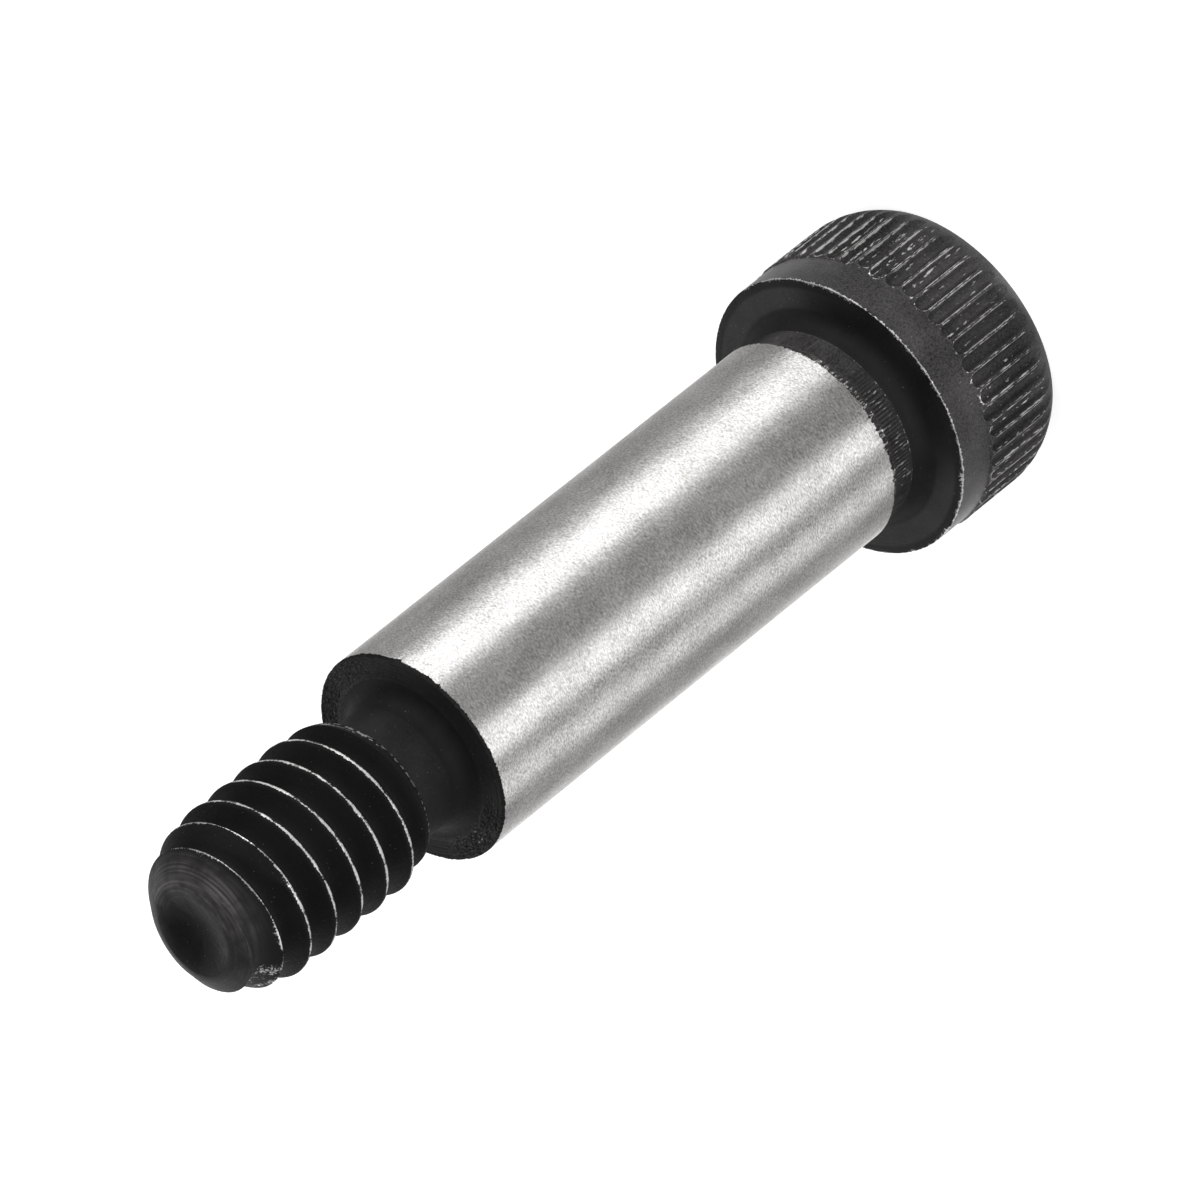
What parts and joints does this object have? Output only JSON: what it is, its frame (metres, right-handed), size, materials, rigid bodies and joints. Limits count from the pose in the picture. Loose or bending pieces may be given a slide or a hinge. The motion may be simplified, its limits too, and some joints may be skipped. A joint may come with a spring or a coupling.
{
  "type": "shoulder bolt",
  "caption": "Socket head shoulder bolt: a knurled round head, a ground cylindrical shoulder to run or locate on, and a reduced coarse thread with a neck and a chamfered end.",
  "frame": {"origin": "centre of the head's top face, on which the bolt stands", "axes": "+Z along the bolt's axis, from the head to the free end of the thread; X and Y are across it, and the picture looks at the -Y side"},
  "size_m": [0.0108, 0.0108, 0.0387],
  "materials": {
    "bolt_steel": "black oxide on the head, necks and thread, and a bright ground shoulder"
  },
  "bodies": {
    "root": {"shoulder_bolt": "bolt_steel"}
  },
  "joints": []
}
